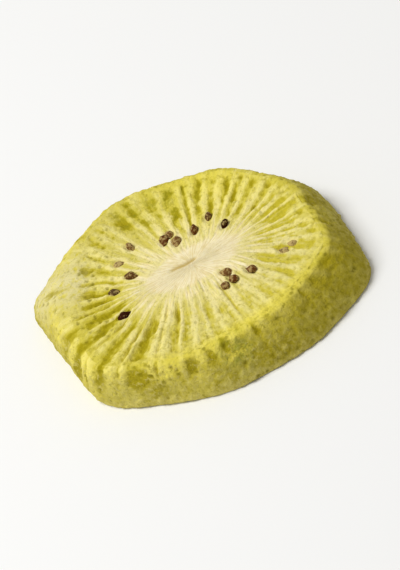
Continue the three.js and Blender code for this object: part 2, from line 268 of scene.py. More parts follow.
def bearing_at(ray_place):
    """The bearing at a place among the rays, such as 3.5 for the middle of pocket 3."""
    ray = np.floor(ray_place)
    first, second = ray_bearing(ray), ray_bearing(ray + 1)
    return first + (second - first) * (ray_place - ray)


def top_shoulder(bearing):
    """How far in the upper face's round shoulder starts: further where the bevel runs into it."""
    return TOP_SHOULDER + (BEVEL_SHOULDER - TOP_SHOULDER) * hump(bearing, *BEVEL_ZONE)


def face_point(bearing, share, level):
    """A point of a cut face: a straight way from the oval core to the shoulder."""
    height, shoulder = (1, top_shoulder(bearing)) if level == EDGE else (0, BASE_SHOULDER)
    edge = wall_distance(bearing, height) - shoulder
    x = (CORE_HALF_LENGTH * (1 - share) + edge * share) * np.cos(bearing)
    y = (CORE_HALF_WIDTH * (1 - share) + edge * share) * np.sin(bearing)
    return x, y


def deepness(bearing):
    """From 0 to 1, how deep and green the pockets are at a bearing."""
    return strongest(bearing, DEEP_ZONES)


def ridge_share(place, share, radius):
    """1 on a ray's crest, falling off within the ridge's half width, which grows outwards."""
    ray = np.floor(place)
    across = place - ray
    step = ray_bearing(ray + 1) - ray_bearing(ray)
    away = np.minimum(across, 1 - across) * step * radius
    nearest = np.mod(np.floor(place + 0.5), RAY_COUNT)
    width = RIDGE_INNER + (RIDGE_OUTER - RIDGE_INNER) * share
    width = width * (1 + FURROW_RIDGES_WIDER * share * hump(ray_bearing(nearest), *FURROW_ZONE))
    half_width = width * scatter_in(RIDGE_VARIES, nearest, RIDGE_TRAIT)
    return np.exp(-(away / half_width) ** 2)


def pocket_shape(place, share, radius, trait):
    """From 0 to 1, the trough of a pocket between two rays: it starts to sink near the core and
    closes just before the shoulder, but in the furrow zone it runs over it."""
    pocket = np.mod(np.floor(place), RAY_COUNT)
    late, open_end = 0, 0
    if trait == TOP_TRAIT:
        late = hump(bearing_at(pocket + 0.5), *LATE_ZONE)
        open_end = hump(bearing_at(pocket + 0.5), *FURROW_ZONE)
    start = scatter_in(POCKET_START, pocket, trait) + late
    end = scatter_in(POCKET_END, pocket, trait + 1)
    sinking = smooth_rise(start, start + POCKET_SINKS_IN, share)
    closing = smooth_rise(end - POCKET_CLOSES_IN, end, share) * (1 - open_end)
    return sinking * (1 - closing) * (1 - ridge_share(place, share, radius))


def pocket_depth(place, trait):
    """How deep each pocket is at most, in millimetres: deepest where the deep zones lie."""
    pocket = np.mod(np.floor(place), RAY_COUNT)
    zone = SHALLOW_DEPTH + (1 - SHALLOW_DEPTH) * deepness(bearing_at(pocket + 0.5))
    return scatter_in(POCKET_DEPTH, pocket, trait + 2) * zone


def wall_dimple(place, down, radius):
    """From 0 to 1, the dimples that some pockets leave in the wall just under its top edge."""
    pocket = np.mod(np.floor(place), RAY_COUNT)
    zone = hump(bearing_at(pocket + 0.5), *FURROW_ZONE)
    strength = smooth_rise(*DIMPLE_CHANCE, scatter(pocket, DIMPLE_TRAIT) + FURROW_CHANCE * zone)
    middle = scatter_in(DIMPLE_MIDDLE, pocket, DIMPLE_TRAIT + 1) * (1 + zone)
    half = DIMPLE_HALF * (1 + (FURROW_LENGTH - 1) * zone)
    upright = np.exp(-((down - middle) / half) ** 2)
    return strength * upright * (1 - ridge_share(place, 1, radius))


class Noise:
    """Gradient noise: random slopes on a whole-number lattice, blended by a smooth curve."""

    def __init__(self, seed):
        draw = np.random.default_rng(seed)
        self.order = draw.permutation(256)
        slopes = draw.normal(size=(256, 3))
        self.slopes = slopes / np.linalg.norm(slopes, axis=1, keepdims=True)

    def hashed(self, cell):
        """A lattice point's own number, from 0 to 255."""
        first = self.order[cell[..., 0] & 255]
        second = self.order[(first + cell[..., 1]) & 255]
        return self.order[(second + cell[..., 2]) & 255]

    def __call__(self, points, size):
        """About -1 to 1, in lumps of about the given size."""
        scaled = points / size
        cell = np.floor(scaled).astype(int)
        inside = scaled - cell
        blend = inside ** 3 * (inside * (inside * 6 - 15) + 10)
        total = 0
        for corner in np.ndindex(2, 2, 2):
            corner = np.array(corner)
            weight = np.where(corner == 1, blend, 1 - blend).prod(-1)
            slope = self.slopes[self.hashed(cell + corner)]
            total = total + weight * (slope * (inside - corner)).sum(-1)
        return total * 1.6

    def rough(self, points, size, layers=3):
        """Noise in layers, each half the size and half the height of the one before."""
        return sum(self(points, size / 2 ** layer) / 2 ** layer for layer in range(layers))

    def cells(self, points, size):
        """The distance to the nearest of scattered points, one to a lattice cell, over size."""
        scaled = points / size
        cell = np.floor(scaled).astype(int)
        nearest = np.full(points.shape[:-1], 9.0)
        for step in np.ndindex(3, 3, 3):
            neighbour = cell + np.array(step) - 1
            spot = neighbour + 0.5 + 0.45 * self.slopes[self.hashed(neighbour)]
            nearest = np.minimum(nearest, ((scaled - spot) ** 2).sum(-1))
        return np.sqrt(nearest)


def seed_places(seeds, level):
    """Each seed's middle in x, y and z, its turn about z, its lean, how deep it is and its number."""
    places = []
    for number, (place, share, sunk, lean) in enumerate(seeds):
        bearing = bearing_at(place)
        x, y = face_point(bearing, share, level)
        turn = bearing + (2 * scatter(number, SEED_TRAIT) - 1) * SEED_TURN * (1 - lean)
        trait = TOP_TRAIT if level == EDGE else BASE_TRAIT
        hollow = pocket_depth(place, trait) * pocket_shape(place, share, np.hypot(x, y), trait)
        if level == EDGE:
            swell = FACE_SWELL * share * math.sin(2 * bearing + SWELL_TURN)
            dip = RING_DIP * math.sin(math.pi * share) ** 2
            deeper = sunk + LEAN_SINKS * SEED_LENGTH * math.sin(lean)
            z = THICKNESS + swell - dip - hollow + SEED_RISE - deeper
        else:
            z = max(hollow + SEED_RISE, BASE_SEED_HEIGHT) + sunk
        places.append((float(x), float(y), float(z), float(turn), lean, sunk, number))
    return places


def seed_distances(points, places):
    """For each seed, how far away points are: 1 on the seed's own oval outline, seen from above."""
    for x, y, _z, turn, *_rest in places:
        dx, dy = points[..., 0] - x, points[..., 1] - y
        along = (dx * math.cos(turn) + dy * math.sin(turn)) / (SEED_LENGTH / 2)
        aside = (-dx * math.sin(turn) + dy * math.cos(turn)) / (SEED_WIDTH / 2)
        yield np.sqrt(along ** 2 + aside ** 2)


def seed_lips(points, places):
    """The flesh round each upper seed, as a height: a hollow under it and a low lip round that."""
    height = np.zeros(points.shape[:-1])
    for away in seed_distances(points, places):
        height -= SEED_HOLLOW * np.exp(-(away / 1.1) ** 4)
        height += SEED_LIP * np.exp(-((away - 1.5) / 0.35) ** 2)
    return height


def seed_beds(points, places):
    """The hollow round each seed of the underside, as a height: half of a flat ellipsoid."""
    height = np.zeros(points.shape[:-1])
    for away in seed_distances(points, places):
        bed = BED_DEPTH * np.sqrt(np.clip(1 - (away / BED_SPREAD) ** 2, 0, 1))
        height = np.maximum(height, bed)
    return height


def shoulder_rows(count, drop, inset):
    """A quarter of an ellipse, as rows of (share of thickness lost, distance drawn in)."""
    angle = np.linspace(0, np.pi / 2, count, endpoint=False)[1:]
    return drop * (1 - np.cos(angle)), inset * (1 - np.sin(angle))


def closed_grid(rows, columns, start=0):
    """The faces of a grid that runs round: quads between its rows, and fans of triangles to the
    two points that come after it, the first for its first row and the second for its last."""
    number = np.arange(rows * columns).reshape(rows, columns) + start
    following = np.roll(number, -1, axis=1)
    quads = np.stack([number[:-1], number[1:], following[1:], following[:-1]], -1).reshape(-1, 4)
    first = np.full(columns, start + rows * columns)
    fans = np.concatenate([np.stack([first, number[0], following[0]], -1),
                           np.stack([number[-1], first + 1, following[-1]], -1)])
    return quads, fans


class Flesh:
    """The grid of the flesh: points in millimetres and the traits that colour them."""

    # Rows of the grid, in turn downwards
    CORE_ROWS, FACE_ROWS, SHOULDER_ROWS, WALL_ROWS = 20, 64, 9, 30
    BASE_SHOULDER_ROWS, BASE_ROWS, BASE_CORE_ROWS = 5, 32, 8
    # How tall the round shoulders are, as shares of the thickness
    TOP_DROP, BASE_DROP = 0.07, 0.08
    # In the noise of streaks, the radius of a whole turn and the way for a millimetre of a ray
    STREAK_ACROSS, STREAK_ALONG = 14, 0.16
    TRAITS = ("core", "way", "pocket", "ray", "wall", "down", "pit", "deep", "pale", "slit", "grit",
              "furrow", "olive", "moss")

    def __init__(self):
        self.noise = [Noise(FLESH_SEED + number) for number in range(KINKS + 1)]
        columns = RAY_COUNT * COLUMNS_PER_RAY
        self.place = np.arange(columns) / COLUMNS_PER_RAY
        self.bearing = bearing_at(self.place)
        self.rows = []
        self.traits = {name: [] for name in self.TRAITS}
        self.grain = []
        self.top_seeds = seed_places(TOP_SEEDS, EDGE)
        self.base_seeds = seed_places(BASE_SEEDS, FOOT)

    def add(self, points, grain, **traits):
        """Takes one block of rows and its traits; a trait that isn't given is nought."""
        self.rows.append(points)
        self.grain.append(grain)
        for name, blocks in self.traits.items():
            value = traits.get(name, 0.0)
            blocks.append(np.broadcast_to(value, points.shape[:-1]).astype(float))

    def streaks(self, radius, shift):
        """A place to read noise at that is long along the rays and short across them."""
        turning = np.stack([np.cos(self.bearing) + 0 * radius, np.sin(self.bearing) + 0 * radius], -1)
        along = radius[..., None] * self.STREAK_ALONG
        return np.concatenate([turning * self.STREAK_ACROSS, along], -1) + shift

    def wander(self, streak, flat):
        """How far a ray strays to either side on its way outwards, in steps between rays."""
        bends = self.noise[BENDS](streak * (0.5, 0.5, 1.5), 1.0)
        return 0.2 * bends + 0.07 * self.noise[KINKS](flat, 0.9)

    def face(self, level):
        """A cut face, core first. Height is the level face, less the pockets, with fibres that
        run along the rays, a grainy band near the rim and the seeds' beds."""
        top = level == EDGE
        core_rows = self.CORE_ROWS if top else self.BASE_CORE_ROWS
        face_rows = self.FACE_ROWS if top else self.BASE_ROWS
        inner = np.linspace(0, 1, core_rows + 1)[1:-1]
        outer = np.linspace(0, 1, face_rows + 1)
        share = np.concatenate([inner - 1, outer])[:, None]
        way = np.clip(share, 0, 1)
        x, y = face_point(self.bearing[None, :], way, level)
        scale = np.clip(share + 1, 0, 1)
        x, y = x * scale, y * scale
        flat = np.stack([x, y, np.full_like(x, TOP_LEVEL if top else BASE_LEVEL)], -1)
        radius = np.hypot(x, y)
        streak = self.streaks(radius, 0.0 if top else BASE_SHIFT)

        place = self.place[None, :] + self.wander(streak, flat) * smooth_rise(0.0, 0.35, way)
        trait = TOP_TRAIT if top else BASE_TRAIT
        crest = ridge_share(place, way, radius)
        deep = deepness(self.bearing)[None, :]
        flesh = smooth_rise(0.0, 0.15, share)
        threads = np.exp(-(self.noise[THREADS](streak, 1.1) / 0.3) ** 2) * flesh * (1 - 0.4 * deep)
        broken = self.noise[BREAKS](streak * (0.6, 0.6, 2.5), 1.0)
        broken = broken + 0.5 * self.noise[PITS](streak * (1, 1, 5), 1.0)
        whole = np.clip(1.05 + 1.1 * broken, 0.2, 1.15) * (1 - 0.5 * threads)
        sunk = pocket_shape(place, way, radius, trait) * whole
        hollow = sunk * pocket_depth(place, trait)
        fibre = self.noise[FIBRES](streak, 0.5)
        lumps = self.noise[LUMPS].rough(flat, FACE_LUMP, 3)
        grains = self.noise[GRAINS].rough(flat, GRAIN, 2)
        band = smooth_rise(0.7, 0.95, way)
        pitted = 0.4 + hump(self.bearing, *PITTED_ZONE)
        pit = self.pits(flat, FACE_PIT, FACE_PATCH, -0.35) * smooth_rise(0.35, 0.6, way) * pitted
        relief = FACE_FIBRES * fibre * (0.3 + 0.7 * flesh) + FACE_LUMPS * lumps
        relief = relief + FACE_GRAINS * grains * (0.7 + band)
        relief = relief * (1 - 0.55 * smooth_rise(0.1, -0.3, share))
        relief = relief + FACE_THREADS * threads - FACE_PITS * pit

        ragged = 0.2 * crest * flesh + 0.16 * self.noise[FIBRES](streak, 0.7) + 0.06 * lumps
        core = 1 - smooth_rise(-0.16, 0.11, share - ragged)
        slit = self.groove(x, y)
        if top:
            swell = FACE_SWELL * way * np.sin(2 * self.bearing + SWELL_TURN)
            dip = RING_DIP * np.sin(np.pi * way) ** 2
            z = THICKNESS + swell - dip - hollow + relief
            z = z + seed_lips(flat, self.top_seeds) - GROOVE_DEPTH * slit
        else:
            z = np.maximum(hollow, seed_beds(flat, self.base_seeds)) + np.abs(relief) * 0.7
            slit = 0 * slit
        looks = self.face_looks(way, sunk, np.maximum(crest, 0.7 * threads) * flesh)
        looks.update(core=core, way=way, pit=pit, slit=slit, grit=grains)
        order = slice(None) if top else slice(None, None, -1)
        turned = {name: values[order] for name, values in looks.items()}
        self.add(np.stack([x, y, z], -1)[order], streak[order], **turned)

    def face_looks(self, way, sunk, ray):
        """The traits that colour a cut face's rays and pockets, which differ from zone to zone."""
        bearing = self.bearing[None, :]
        green = hump(bearing, *GREEN_ZONE)
        dull = hump(bearing, *DULL_ZONE) * way
        ray = ray * (1 - 0.4 * smooth_rise(0.8, 1.0, way))
        ray = ray * (1 - 0.5 * way * hump(bearing, *FURROW_ZONE))
        ray = ray * (1 - 0.35 * np.maximum(way * green, dull))
        # Along the front part of the rim, a painted highlight: it keeps the dry pale flesh off the rim
        # and goes into the furrow trait, which takes the edge colour
        lit_rim = smooth_rise(0.84, 1.0, way) * hump(bearing, *PAINTED_LIT_RIM)
        pale = strongest(bearing, DRY_ZONES) * (1 - lit_rim)
        return {
            "ray": ray,
            "pocket": sunk * (1 - hump(bearing, *LIGHT_ZONE)),
            "deep": np.maximum(deepness(bearing), green),
            "pale": np.maximum(pale, hump(bearing, *PALE_ZONE) * smooth_rise(0.65, 0.95, way)),
            "furrow": np.maximum(hump(bearing, *GOLDEN_ZONE) * way, lit_rim),
            "moss": dull * (0.1 + 0.8 * sunk),
        }

    def groove(self, x, y):
        """1 along the narrow groove in the core, fading out towards its sides and ends."""
        along = np.abs(x - GROOVE_MIDDLE[0]) / (GROOVE_LENGTH / 2)
        middle = GROOVE_MIDDLE[1] + GROOVE_SWAY * np.sin(x * SWAY_TURN)
        aside = np.abs(y - middle) / (GROOVE_WIDTH / 2)
        return np.exp(-aside ** 2) * (1 - smooth_rise(0.6, 1.1, along))

    def pits(self, points, size, patch, least):
        """1 in small round pits, which gather in patches."""
        pit = 1 - smooth_rise(0.14, 0.36, self.noise[PITS].cells(points, size))
        return pit * smooth_rise(least, least + 0.45, self.noise[PATCHES](points, patch))

    def wall(self):
        """The peeled wall with its two round shoulders: the peel cuts' distance at each height,
        less the shoulder, moved out and in by lumps, grains and small pits."""
        drop, top_inset = shoulder_rows(self.SHOULDER_ROWS, self.TOP_DROP, 1.0)
        rise, base_inset = shoulder_rows(self.BASE_SHOULDER_ROWS, self.BASE_DROP, BASE_SHOULDER)
        middle = np.linspace(1 - self.TOP_DROP, self.BASE_DROP, self.WALL_ROWS)
        height = np.concatenate([1 - drop, middle, rise[::-1]])[:, None]
        bearing = self.bearing[None, :]
        inset = np.concatenate([
            top_inset[:, None] * top_shoulder(bearing),
            np.zeros((self.WALL_ROWS, len(self.bearing))),
            base_inset[::-1, None] + 0 * bearing,
        ])
        distance = wall_distance(bearing, height) - inset
        down = 1 - height
        x, y = distance * np.cos(bearing), distance * np.sin(bearing)
        streak = self.streaks(wall_distance(bearing, 1) - top_shoulder(bearing) + down * 8, 0.0)
        place = self.place[None, :] + self.wander(streak, np.stack([x, y, TOP_LEVEL + 0 * x], -1))
        hollow = pocket_shape(place, 1, distance, TOP_TRAIT)
        swell = FACE_SWELL * np.sin(2 * bearing + SWELL_TURN)
        z = (THICKNESS + swell - hollow * pocket_depth(place, TOP_TRAIT)) * height
        points = np.stack([x, y, z], -1)
        moved = points + WALL_SHIFT
        lumps = self.noise[LUMPS].rough(moved, WALL_LUMP, 3)
        grains = self.noise[GRAINS].rough(moved, GRAIN, 2)
        upright = self.noise[FIBRES](streak, 0.6)
        pit = self.pits(moved, WALL_PIT, WALL_PATCH, -0.1)
        dimple = wall_dimple(place, down, distance)
        foot = 1 - smooth_rise(0.05, 0.3, height)
        push = WALL_LUMPS * lumps + WALL_GRAINS * grains + WALL_STREAKS * upright
        push = push - WALL_PITS * pit - DIMPLE_DEPTH * dimple
        push = push + foot * (FOOT_LUMPS * self.noise[PITS](points, 1.6) - 0.05)
        push = push * smooth_rise(0, 0.06, height) * (1 - 0.55 * smooth_rise(0.9, 1, height))
        rising = 0.45 - 0.4 * foot
        across = np.stack(np.broadcast_arrays(np.cos(bearing), np.sin(bearing), rising), -1)
        across = across / np.linalg.norm(across, axis=-1, keepdims=True)
        points = points + across * push[..., None]
        bevel = hump(bearing, *PALE_ZONE) * (1 - smooth_rise(0.35, 0.75, down))
        furrow = np.maximum(dimple, hollow * (1 - smooth_rise(0.0, 0.35, down)))
        zone = hump(bearing, *FURROW_ZONE)
        ray = ridge_share(place, 1, distance) * (0.5 + 0.5 * zone)
        ray = ray * (1 - smooth_rise(0.1, 0.3 + 0.6 * zone, down))
        # The right wall, darker and greener up to its edge: partly its own colour, partly painted shade
        olive = hump(bearing, *OLIVE_SHADE_ZONE)
        # A painted highlight on the top of the front wall and on one part of the front wall. Together
        # with half of the furrow zone's gold it makes the wall's furrow trait, which is painted in the
        # edge colour
        lit_rim = hump(bearing, *PAINTED_LIT_RIM) * (1 - smooth_rise(0.0, 0.12, down))
        golden_and_lit = np.maximum(np.maximum(0.5 * zone, lit_rim), hump(bearing, *PAINTED_LIT_WALL))
        moss = hump(bearing, *MOSSY_SPOT) * np.exp(-((down - 0.3) / 0.3) ** 2)
        wall = smooth_rise(0.0, 0.13 - 0.08 * olive, down) * (1 - bevel)
        self.add(points, streak, wall=wall, way=1.0, down=down, pocket=furrow, ray=ray, pit=pit,
                 deep=deepness(bearing), pale=bevel, furrow=golden_and_lit, olive=olive, moss=moss,
                 grit=0.6 * grains + 0.6 * upright)

    def build(self):
        """The whole skin as points, faces and traits, closed by a point in each face's middle."""
        self.face(EDGE)
        self.wall()
        self.face(FOOT)
        grid = np.concatenate(self.rows)
        top_middle = [0, 0, grid[0, :, 2].mean()]
        base_middle = [0, 0, grid[-1, :, 2].mean()]
        points = np.concatenate([grid.reshape(-1, 3), [top_middle, base_middle]])
        quads, fans = closed_grid(*grid.shape[:2])
        traits = {}
        for name, blocks in self.traits.items():
            values = np.concatenate(blocks)
            ends = [values[0].mean(), values[-1].mean()]
            traits[name] = np.concatenate([values.ravel(), ends])
        grain = np.concatenate(self.grain)
        ends = [grain[0].mean(0), grain[-1].mean(0)]
        traits["grain"] = np.concatenate([grain.reshape(-1, 3), ends])
        return points, quads, fans, traits


def make_mesh(name, points, quads, triangles, traits):
    """A smooth-shaded mesh object from millimetre points, with its traits as point attributes."""
    mesh = bpy.data.meshes.new(name)
    mesh.vertices.add(len(points))
    mesh.vertices.foreach_set("co", (np.asarray(points) * MM).astype(np.float32).ravel())
    corners = np.concatenate([np.asarray(quads, int).ravel(), np.asarray(triangles, int).ravel()])
    sizes = np.concatenate([np.full(len(quads), 4), np.full(len(triangles), 3)])
    mesh.loops.add(len(corners))
    mesh.loops.foreach_set("vertex_index", corners.astype(np.int32))
    mesh.polygons.add(len(sizes))
    mesh.polygons.foreach_set("loop_start", (np.cumsum(sizes) - sizes).astype(np.int32))
    mesh.update(calc_edges=True)
    mesh.validate()
    for trait, values in traits.items():
        kind, key = ("FLOAT_VECTOR", "vector") if np.ndim(values) == 2 else ("FLOAT", "value")
        layer = mesh.attributes.new(trait, kind, "POINT")
        layer.data.foreach_set(key, np.asarray(values, np.float32).ravel())
    mesh.shade_smooth()
    piece = bpy.data.objects.new(name, mesh)
    bpy.context.scene.collection.objects.link(piece)
    return piece


def seed_mesh(places, tints):
    """All seeds of one face as points and faces. A seed is a drop turned about its long axis: its
    half width at share s of its length is half of sin(pi s^1.45)^0.75. A leaning seed stands on
    its narrow side."""
    share = (1 - np.cos(np.pi * np.linspace(0, 1, SEED_ROWS + 1))) / 2
    half = 0.5 * np.sin(np.pi * share ** 1.45) ** 0.75
    angle = np.linspace(0, 2 * np.pi, SEED_COLUMNS, endpoint=False)
    noise = Noise(SEEDS_SEED)
    points, quads, fans, tint, cover = [], [], [], [], []
    for x, y, z, turn, lean, sunk, number in places:
        size = scatter_in(SEED_SIZES, number, SIZE_TRAIT)
        breadth = scatter_in(SEED_BREADTHS, number, BREADTH_TRAIT)
        length = SEED_LENGTH * size
        width, height = (SEED_HEIGHT, SEED_WIDTH) if lean > 0 else (SEED_WIDTH, SEED_HEIGHT)
        ring = half[1:-1, None] * size
        along = (share[1:-1, None] - 0.5) * length + 0 * angle
        aside = ring * width * breadth * np.cos(angle)
        up = ring * height * np.sin(angle)
        local = np.stack([along, aside, up], -1).reshape(-1, 3)
        local = np.concatenate([local, [[-length / 2, 0, 0], [length / 2, 0, 0]]])
        local = local * (1 + SEED_UNEVEN * noise.rough(local + number * 7, 0.8, 2)[:, None])
        tilt = lean + (scatter(number, TILT_TRAIT) - 0.5) * SEED_TILT
        tilted = local @ np.array(Matrix.Rotation(tilt, 3, "Y"))
        spun = tilted @ np.array(Matrix.Rotation(-turn, 3, "Z"))
        seed_quads, seed_fans = closed_grid(SEED_ROWS - 1, SEED_COLUMNS, len(points) * len(local))
        points.append(spun + [x, y, z])
        quads.append(seed_quads[:, ::-1])
        fans.append(seed_fans[:, ::-1])
        tint.append(np.full(len(local), tints[number]))
        cover.append(np.full(len(local), sunk / DEEPEST_SEED))
    traits = {"tint": np.concatenate(tint), "cover": np.concatenate(cover)}
    return np.concatenate(points), np.concatenate(quads), np.concatenate(fans), traits


class Wire:
    """A shader socket that takes part in Python sums, each of which adds a Math node."""

    def __init__(self, paint, socket):
        self.paint = paint
        self.socket = socket

    def sum(self, operation, first, second):
        """A Math node on two values."""
        return self.paint.node("ShaderNodeMath", {"operation": operation}, {0: first, 1: second})

    def __add__(self, other):
        return self.sum("ADD", self, other)

    def __sub__(self, other):
        return self.sum("SUBTRACT", self, other)

    def __rsub__(self, other):
        return self.sum("SUBTRACT", other, self)

    def __mul__(self, other):
        return self.sum("MULTIPLY", self, other)

    __radd__ = __add__
    __rmul__ = __mul__


class Paint:
    """A material under construction."""

    def __init__(self, name):
        self.material = bpy.data.materials.new(name)
        self.material.use_nodes = True
        self.tree = self.material.node_tree
        self.tree.nodes.clear()

    def node(self, kind, settings=None, inputs=None, output=0):
        """Adds a node: its settings first, then the values or links of its sockets."""
        made = self.tree.nodes.new(kind)
        for key, value in (settings or {}).items():
            setattr(made, key, value)
        for key, value in (inputs or {}).items():
            socket = self.pick(made.inputs, key)
            if isinstance(value, Wire):
                self.tree.links.new(value.socket, socket)
            else:
                socket.default_value = value
        return Wire(self, self.pick(made.outputs, output))

    def pick(self, sockets, key):
        """A socket by its number, or the first of that name that the settings leave in use."""
        if isinstance(key, int):
            return [s for s in sockets if s.enabled][key]
        return next(s for s in sockets if s.name == key and s.enabled)

    def trait(self, name, output="Fac"):
        """A point attribute of the mesh."""
        return self.node("ShaderNodeAttribute", {"attribute_name": name}, output=output)

    def traits(self, names):
        """Several point attributes, given by their names with spaces between."""
        return [self.trait(name) for name in names.split()]

    def between(self, low, high, value):
        """Value moved from low..high to 0..1, with smooth ends."""
        settings = {"interpolation_type": "SMOOTHSTEP", "clamp": True}
        inputs = {"Value": value, "From Min": low, "From Max": high}
        return self.node("ShaderNodeMapRange", settings, inputs)

    def mixed(self, share, first, second):
        """Two colours mixed by a share."""
        settings = {"data_type": "RGBA", "blend_type": "MIX", "clamp_factor": True}
        return self.node("ShaderNodeMix", settings, {"Factor": share, "A": first, "B": second})

    def speckle(self, place, scale, detail=3.0, roughness=0.55):
        """Noise from 0 to 1 at a place."""
        inputs = {"Vector": place, "Scale": scale, "Detail": detail, "Roughness": roughness}
        return self.node("ShaderNodeTexNoise", {"noise_dimensions": "3D"}, inputs)

    def finish(self, inputs):
        """The shader and the output; returns the material."""
        shader = self.node("ShaderNodeBsdfPrincipled", None, inputs)
        end = self.tree.nodes.new("ShaderNodeOutputMaterial")
        self.tree.links.new(shader.socket, end.inputs["Surface"])
        return self.material


def millimetres(paint):
    """Object coordinates in millimetres."""
    inputs = {"Vector": paint.node("ShaderNodeTexCoord", output="Object"), "Scale": 1 / MM}
    return paint.node("ShaderNodeVectorMath", {"operation": "SCALE"}, inputs)


def face_tone(paint, colours, streaks, patches, cloud):
    """The cut face's colour: pale rays between green pockets, and a cream core with a tan slit."""
    core, way, pocket, ray = paint.traits("core way pocket ray")
    deep, slit, grit, furrow = paint.traits("deep slit grit furrow")
    uneven = (streaks - 0.5) * 0.8 + (cloud - 0.5) * 0.6
    sunk = paint.between(0.15, 0.65, pocket + uneven - grit * 0.25)
    green = paint.between(0.2, 0.8, pocket + uneven) * paint.between(0.05, 0.3, way)
    green = green * paint.between(0.05, 0.4, deep + (patches - 0.5) * 0.5)
    hollow_tone = paint.mixed(green, colours.pocket_pale, colours.pocket)
    deepest = paint.between(0.75, 1.15, pocket + uneven) * green
    hollow_tone = paint.mixed(deepest * 0.6, hollow_tone, colours.pit)
    outer = paint.between(-0.1, 0.35, way + (patches - 0.5) * 0.6)
    flesh = paint.mixed(outer, colours.ray, colours.flesh)
    ray_tone = paint.mixed(paint.between(0.3, 0.9, way), colours.ray, colours.ray_outer)
    raised = paint.between(0.2, 1.0, ray + (streaks - 0.5) * 1.4 + (patches - 0.5) * 1.2)
    flesh = paint.mixed(raised, flesh, ray_tone)
    # The furrow trait paints the gold far side in the edge colour, and a painted highlight along the
    # front rim
    flesh = paint.mixed(furrow * 0.7, flesh, colours.edge)
    low_spots = paint.between(-0.1, -0.7, grit) * way
    flesh = paint.mixed(low_spots * 0.6, flesh, colours.flesh_green)
    pale = paint.trait("pale") * paint.between(0.25, 0.55, cloud) * 0.9
    flesh = paint.mixed(pale, flesh, colours.pale)
    tone = paint.mixed(sunk * (1 - pale * 0.3), flesh, hollow_tone)
    fibre = paint.between(0.36, 0.6, streaks * 0.75 + cloud * 0.25)
    core_tone = paint.mixed(fibre, colours.core_shade, colours.core)
    tone = paint.mixed(core, tone, core_tone)
    return paint.mixed(paint.between(0.0, 0.8, slit) * 0.9, tone, colours.slit)


def wall_tone(paint, colours, patches, cloud):
    """The peeled wall's colour: clouds of three greens, a band under the top edge in its own yellow,
    brightened as a painted highlight, the right wall darker and greener up to its edge as painted
    shade on top of its colour, and paler at the foot.
    """
    grit, down, olive = paint.traits("grit down olive")
    furrow, pocket, ray = paint.traits("furrow pocket ray")
    # On the right wall the green patches grow, and the pale clouds, the pale foot and the top band thin
    # out: a greener colour, partly painted shade
    green = paint.between(0.36, 0.62, patches + olive * 0.14) * 0.85
    tone = paint.mixed(green, colours.wall, colours.wall_green)
    tone = paint.mixed(paint.between(-0.1, -0.8, grit) * 0.5, tone, colours.wall_green)
    clouds = paint.between(0.38, 0.72, cloud + grit * 0.12) * (0.7 - olive * 0.5)
    tone = paint.mixed(clouds, tone, colours.wall_pale)
    # A band under the top edge in the edge colour: the wall's own yellow, brightened as a painted
    # highlight of the lit shoulder. On the right wall it is narrower and takes the dimple colour, as
    # painted shade
    edge = paint.between(0.46, 0.02, down + (cloud - 0.5) * 0.7 + (patches - 0.5) * 0.8)
    lit_and_shaded_edge_tone = paint.mixed(olive, colours.edge, colours.dimple)
    tone = paint.mixed(edge * (0.95 - olive * 0.35), tone, lit_and_shaded_edge_tone)
    foot = paint.between(0.65, 1.0, down + (cloud - 0.5) * 0.6)
    tone = paint.mixed(foot * (0.8 - olive * 0.5), tone, colours.wall_pale)
    # The furrow trait paints the furrow zone's gold in the edge colour, and painted highlights on the
    # top of the front wall and on one part of it
    tone = paint.mixed(furrow * 0.7, tone, colours.edge)
    tone = paint.mixed(ray * 0.4, tone, colours.ray_outer)
    dimple = paint.between(0.05, 0.65, pocket + (cloud - 0.5) * 0.9)
    dimple_tone = paint.mixed(furrow, colours.dimple, colours.pit)
    return paint.mixed(dimple * 0.9, tone, dimple_tone)


def flesh_paint(colours):
    """Dry flesh: a cream core, pale rays, saturated green pockets and a grainy peeled wall."""
    paint = Paint("kiwi_flesh")
    place = millimetres(paint)
    grain = paint.trait("grain", "Vector")
    core, wall, pit, moss, olive = paint.traits("core wall pit moss olive")
    patches = paint.speckle(place, 0.25, 2.0)
    cloud = paint.speckle(place, 1.1, 3.0)
    dust = paint.speckle(place, 2.2, 4.0, 0.65)
    crumb = paint.speckle(place, 1.35, 3.0, 0.7)
    streaks = paint.speckle(grain, 2.2, 3.0, 0.6)
    fine_streaks = paint.speckle(grain, 5.0, 2.0)

    face = face_tone(paint, colours, streaks, patches, cloud)
    tone = paint.mixed(wall, face, wall_tone(paint, colours, patches, cloud))
    tone = paint.mixed(moss * paint.between(0.35, 0.65, cloud) * 0.8, tone, colours.moss)
    tone = paint.mixed(pit * 0.7, tone, colours.pit)
    flesh = 1 - core
    dark_specks = paint.between(0.45, 0.3, crumb) * flesh
    tone = paint.mixed(dark_specks * (wall * 0.2 + 0.4), tone, colours.pit)
    # Fewer pale specks on the right wall, partly painted shade
    pale_specks = paint.between(0.53, 0.64, crumb) * wall
    tone = paint.mixed(pale_specks * (0.65 - olive * 0.55), tone, colours.wall_pale)

    height = (dust * 0.8 + cloud * 0.6) * (flesh * 0.75 + 0.25)
    height = height + fine_streaks * (1 - wall) * 0.4 + crumb * wall * 1.2
    bump = paint.node("ShaderNodeBump", None, {"Height": height, "Strength": 0.8, "Distance": 0.3 * MM})
    return paint.finish({
        "Base Color": tone,
        "Roughness": paint.between(0.0, 1.0, dust) * 0.15 + 0.8,
        "Specular IOR Level": 0.2,
        "Subsurface Weight": 0.05,
        "Subsurface Radius": (1.0, 0.8, 0.25),
        "Subsurface Scale": 0.8 * MM,
        "Normal": bump,
    })


